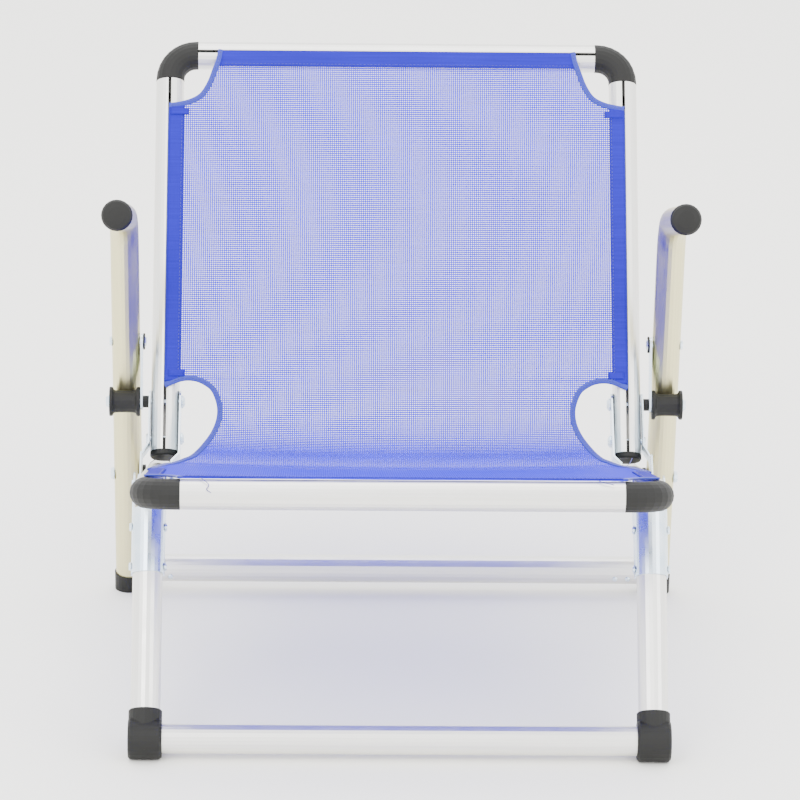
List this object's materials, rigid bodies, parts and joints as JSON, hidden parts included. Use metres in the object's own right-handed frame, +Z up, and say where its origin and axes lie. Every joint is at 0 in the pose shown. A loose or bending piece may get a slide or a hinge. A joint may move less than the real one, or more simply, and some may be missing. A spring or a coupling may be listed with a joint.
{
  "type": "folding beach chair",
  "caption": "Low folding armchair: round metal tube frames hinged together, a one-piece mesh sling for seat and back, bare tube armrests and moulded corners.",
  "frame": {"origin": "centre of the bounding box on the ground, chair unfolded in use", "axes": "+X to the sitter's left, -Y to the front, +Z up"},
  "size_m": [0.5752, 0.611, 0.538],
  "materials": {
    "aluminium_tube": "bright anodised",
    "zinc_plated_steel": "zinc plated",
    "moulded_plastic": "matt moulded",
    "sling_fabric": "woven open mesh"
  },
  "bodies": {
    "seat": {"seat_front_tube": "aluminium_tube", "seat_fabric": "sling_fabric", "seat_side_tube_left": "aluminium_tube", "seat_side_tube_right": "aluminium_tube", "seat_elbow_left": "moulded_plastic", "seat_elbow_right": "moulded_plastic", "seat_end_cap_left": "moulded_plastic", "seat_end_cap_right": "moulded_plastic", "back_pivot_bolt_left": "zinc_plated_steel", "back_pivot_bolt_right": "zinc_plated_steel", "arm_pivot_bolt_left": "zinc_plated_steel", "arm_pivot_bolt_right": "zinc_plated_steel", "arm_pivot_washer_left": "moulded_plastic", "arm_pivot_washer_right": "moulded_plastic", "leg_pivot_bolt_left": "zinc_plated_steel", "leg_pivot_bolt_right": "zinc_plated_steel"},
    "back": {"back_top_tube": "aluminium_tube", "back_fabric": "sling_fabric", "back_side_tube_left": "aluminium_tube", "back_side_tube_right": "aluminium_tube", "back_elbow_left": "moulded_plastic", "back_elbow_right": "moulded_plastic", "back_end_cap_left": "moulded_plastic", "back_end_cap_right": "moulded_plastic", "hinge_plate_outer_left": "zinc_plated_steel", "hinge_plate_outer_right": "zinc_plated_steel", "hinge_plate_inner_left": "zinc_plated_steel", "hinge_plate_inner_right": "zinc_plated_steel", "shaft_bolt_left": "zinc_plated_steel", "shaft_bolt_right": "zinc_plated_steel", "spool_bolt_left": "zinc_plated_steel", "spool_bolt_right": "zinc_plated_steel", "lower_bolt_left": "zinc_plated_steel", "lower_bolt_right": "zinc_plated_steel", "link_spacer_left": "moulded_plastic", "link_spacer_right": "moulded_plastic", "stop_spool_left": "moulded_plastic", "stop_spool_right": "moulded_plastic"},
    "arms": {"rear_cross_tube": "aluminium_tube", "arm_tube_left": "aluminium_tube", "arm_tube_right": "aluminium_tube", "arm_front_cap_left": "moulded_plastic", "arm_front_cap_right": "moulded_plastic", "rear_foot_cap_left": "moulded_plastic", "rear_foot_cap_right": "moulded_plastic", "link_bolt_left": "zinc_plated_steel", "link_bolt_right": "zinc_plated_steel"},
    "legs": {"leg_cross_tube": "aluminium_tube", "leg_tube_left": "aluminium_tube", "leg_tube_right": "aluminium_tube", "leg_bracket_left": "zinc_plated_steel", "leg_bracket_right": "zinc_plated_steel", "leg_foot_left": "moulded_plastic", "leg_foot_right": "moulded_plastic", "leg_rivet_low_left": "zinc_plated_steel", "leg_rivet_low_right": "zinc_plated_steel", "leg_rivet_high_left": "zinc_plated_steel", "leg_rivet_high_right": "zinc_plated_steel"},
    "link_left": {"link_strip_left": "zinc_plated_steel"},
    "link_right": {"link_strip_right": "zinc_plated_steel"}
  },
  "joints": [
    {"name": "back_fold", "type": "hinge", "parent": "seat", "child": "back", "pos_m": [0, 0.01721, 0.16604], "axis": [1, 0, 0], "range_deg": [0, 100]},
    {"name": "arm_fold", "type": "hinge", "parent": "seat", "child": "arms", "pos_m": [0, 0.1291, 0.13183], "axis": [1, 0, 0], "range_deg": [0, 43.1]},
    {"name": "link_left_swing", "type": "hinge", "parent": "arms", "child": "link_left", "pos_m": [0, 0.1036, 0.27965], "axis": [1, 0, 0], "range_deg": [-121.1, 0]},
    {"name": "link_right_swing", "type": "hinge", "parent": "arms", "child": "link_right", "pos_m": [0, 0.1036, 0.27965], "axis": [1, 0, 0], "range_deg": [-121.1, 0]},
    {"name": "leg_fold", "type": "hinge", "parent": "seat", "child": "legs", "pos_m": [0, -0.12445, 0.21024], "axis": [1, 0, 0], "range_deg": [0, 98]}
  ],
  "couplings": [
    {"joint": "arm_fold", "follows": "back_fold", "ratio": 0.4308},
    {"joint": "link_left_swing", "follows": "back_fold", "ratio": -1.2106},
    {"joint": "link_right_swing", "follows": "back_fold", "ratio": -1.2106}
  ]
}
